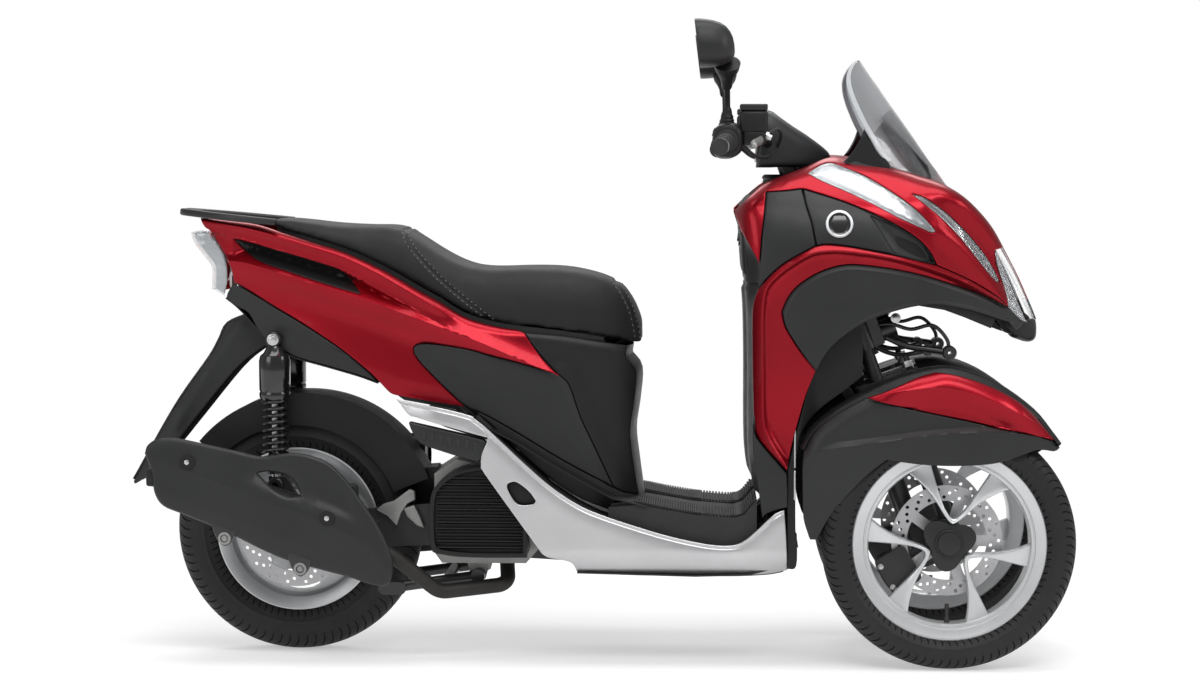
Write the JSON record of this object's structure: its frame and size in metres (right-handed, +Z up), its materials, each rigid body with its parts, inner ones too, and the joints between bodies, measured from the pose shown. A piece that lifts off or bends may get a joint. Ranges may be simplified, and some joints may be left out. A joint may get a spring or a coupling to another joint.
{
  "type": "motor scooter",
  "caption": "Leaning three-wheel motor scooter with paired front wheels, windscreen, flat floor, lifting dual seat over a luggage box and a rear engine unit.",
  "frame": {"origin": "on the ground at the middle of the overall length and width", "axes": "+X forwards along the scooter, +Y to the rider's left, +Z up"},
  "size_m": [1.905, 0.7328, 1.2716],
  "materials": {
    "red_panel": "satin metallic red paint",
    "dark_paint": "satin dark paint",
    "frame_paint": "satin black paint",
    "silver_panel": "satin light silver paint",
    "silver_wheel": "satin silver wheel paint",
    "charcoal": "moulded charcoal plastic",
    "black_plastic": "moulded black plastic",
    "bare_metal": "cast alloy",
    "steel": "ground steel",
    "exhaust_steel": "black heat-proof coating",
    "tyre": "vulcanised rubber",
    "rubber": "ribbed rubber",
    "seat_cover": "coated seat cover over foam",
    "clear_lens": "clear moulded lens",
    "smoke_screen": "smoke tinted clear plastic",
    "mirror_glass": "mirror glass"
  },
  "bodies": {
    "chassis": {"frame": "frame_paint", "lean_linkage": "bare_metal", "front_cowl": "red_panel", "leg_shield": "red_panel", "arch_fairing": "charcoal", "duct_panels": "charcoal", "headlights": "clear_lens", "turn_signals": "clear_lens", "inner_panel": "black_plastic", "key_panel": "charcoal", "windscreen": "smoke_screen", "screen_bracket": "black_plastic", "headlight_housing": "black_plastic", "splash_panel": "black_plastic", "floorboard": "rubber", "side_sills": "silver_panel", "belly_pan": "charcoal", "tail_panels": "red_panel", "centre_cover": "charcoal", "tail_lamp": "clear_lens", "rear_mudguard": "black_plastic", "under_tail_cover": "charcoal", "grab_rail": "dark_paint", "luggage_box": "black_plastic", "engine": "bare_metal", "transmission_case": "dark_paint", "rear_arm": "dark_paint", "rear_shocks": "dark_paint", "exhaust": "exhaust_steel", "muffler_guard": "charcoal", "radiator_cover": "charcoal", "rear_inner_fender": "charcoal", "passenger_footrests": "frame_paint"},
    "handlebar": {"steering_shaft": "steel", "handlebar": "frame_paint", "hand_grips": "rubber", "hand_controls": "black_plastic", "mirrors": "black_plastic", "mirror_glasses": "mirror_glass", "handlebar_cover": "charcoal"},
    "tie_rod": {"tie_rod": "steel"},
    "right_fork": {"right_fork": "dark_paint", "right_front_fender": "red_panel"},
    "left_fork": {"left_fork": "dark_paint", "left_front_fender": "red_panel"},
    "right_front_wheel": {"right_front_tyre": "tyre", "right_front_wheel": "silver_wheel", "right_front_disc": "steel"},
    "left_front_wheel": {"left_front_tyre": "tyre", "left_front_wheel": "silver_wheel", "left_front_disc": "steel"},
    "rear_wheel": {"rear_tyre": "tyre", "rear_wheel": "silver_wheel", "rear_disc": "steel"},
    "seat": {"seat_base": "black_plastic", "seat_cushion": "seat_cover"},
    "centre_stand": {"centre_stand": "frame_paint"},
    "side_stand": {"side_stand": "frame_paint"}
  },
  "joints": [
    {"name": "steering", "type": "hinge", "parent": "chassis", "child": "handlebar", "pos_m": [0.67951, 0, 0.25], "axis": [-0.342, 0, 0.9397], "range_deg": [-36, 36]},
    {"name": "right_fork_steer", "type": "hinge", "parent": "chassis", "child": "right_fork", "pos_m": [0.67951, -0.118, 0.25], "axis": [-0.342, 0, 0.9397], "range_deg": [-36, 36]},
    {"name": "left_fork_steer", "type": "hinge", "parent": "chassis", "child": "left_fork", "pos_m": [0.67951, 0.118, 0.25], "axis": [-0.342, 0, 0.9397], "range_deg": [-36, 36]},
    {"name": "tie_rod_swing", "type": "hinge", "parent": "handlebar", "child": "tie_rod", "pos_m": [0.629, 0, 0.59344], "axis": [-0.342, 0, 0.9397], "range_deg": [-36, 36]},
    {"name": "right_wheel_spin", "type": "hinge", "parent": "right_fork", "child": "right_front_wheel", "pos_m": [0.7025, -0.1925, 0.25], "axis": [0, 1, 0], "continuous": true},
    {"name": "left_wheel_spin", "type": "hinge", "parent": "left_fork", "child": "left_front_wheel", "pos_m": [0.7025, 0.1925, 0.25], "axis": [0, 1, 0], "continuous": true},
    {"name": "rear_wheel_spin", "type": "hinge", "parent": "chassis", "child": "rear_wheel", "pos_m": [-0.6075, 0, 0.2514], "axis": [0, 1, 0], "continuous": true},
    {"name": "seat_hinge", "type": "hinge", "parent": "chassis", "child": "seat", "pos_m": [0.0825, 0, 0.6434], "axis": [0, 1, 0], "range_deg": [0, 60]},
    {"name": "centre_stand_fold", "type": "hinge", "parent": "chassis", "child": "centre_stand", "pos_m": [-0.2355, 0, 0.1634], "axis": [0, -1, 0], "range_deg": [0, 75]},
    {"name": "side_stand_fold", "type": "hinge", "parent": "chassis", "child": "side_stand", "pos_m": [-0.0415, 0.13, 0.1754], "axis": [0, -1, 0], "range_deg": [0, 100]}
  ],
  "couplings": [
    {"joint": "right_fork_steer", "follows": "steering", "ratio": 1},
    {"joint": "left_fork_steer", "follows": "steering", "ratio": 1},
    {"joint": "tie_rod_swing", "follows": "steering", "ratio": -1}
  ]
}
